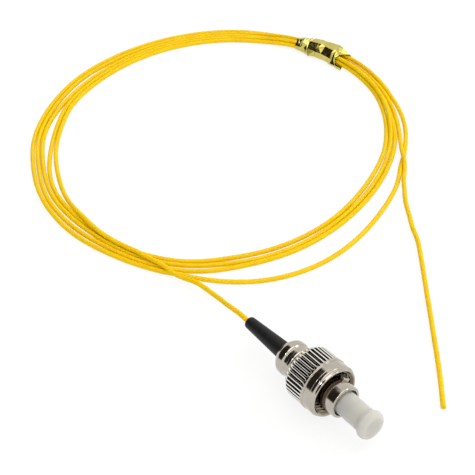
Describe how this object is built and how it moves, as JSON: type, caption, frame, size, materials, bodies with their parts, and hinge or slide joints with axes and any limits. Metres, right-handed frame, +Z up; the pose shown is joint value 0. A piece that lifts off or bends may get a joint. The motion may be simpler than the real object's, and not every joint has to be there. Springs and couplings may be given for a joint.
{
  "type": "fibre optic pigtail",
  "caption": "Fibre optic pigtail: round screw-type connector with knurled nut, boot and dust cap, and a foil-tied coil of thin buffered fibre with one bare end.",
  "frame": {"origin": "under the middle of the connector's length, on the surface that it lies on", "axes": "+X along the connector towards the dust cap, +Z up"},
  "size_m": [0.1229, 0.0813, 0.0095],
  "materials": {
    "boot": "smooth, satin",
    "nickel": "nickel-plated, polished",
    "zirconia": "polished",
    "cap": "translucent, satin",
    "foil": "crumpled gold metallised film",
    "buffer": "smooth, satin"
  },
  "bodies": {
    "connector": {"boot": "boot", "rear_body": "nickel", "front_barrel": "nickel", "cable_lead": "buffer", "cable_coil": "buffer", "cable_tail": "buffer", "twist_tie": "foil"},
    "nut": {"coupling_nut": "nickel"},
    "ferrule_body": {"ferrule": "zirconia"},
    "cap": {"dust_cap": "cap"}
  },
  "joints": [
    {"name": "nut_spin", "type": "hinge", "parent": "connector", "child": "nut", "pos_m": [0.0016, 0, 0.00475], "axis": [1, 0, 0], "continuous": true},
    {"name": "ferrule_push", "type": "slide", "parent": "connector", "child": "ferrule_body", "axis": [-1, 0, 0], "range_m": [0, 0.0008], "stiffness_N_per_m": 3000, "springref_m": -0.001},
    {"name": "cap_pull", "type": "slide", "parent": "connector", "child": "cap", "axis": [1, 0, 0], "range_m": [0, 0.006]}
  ]
}
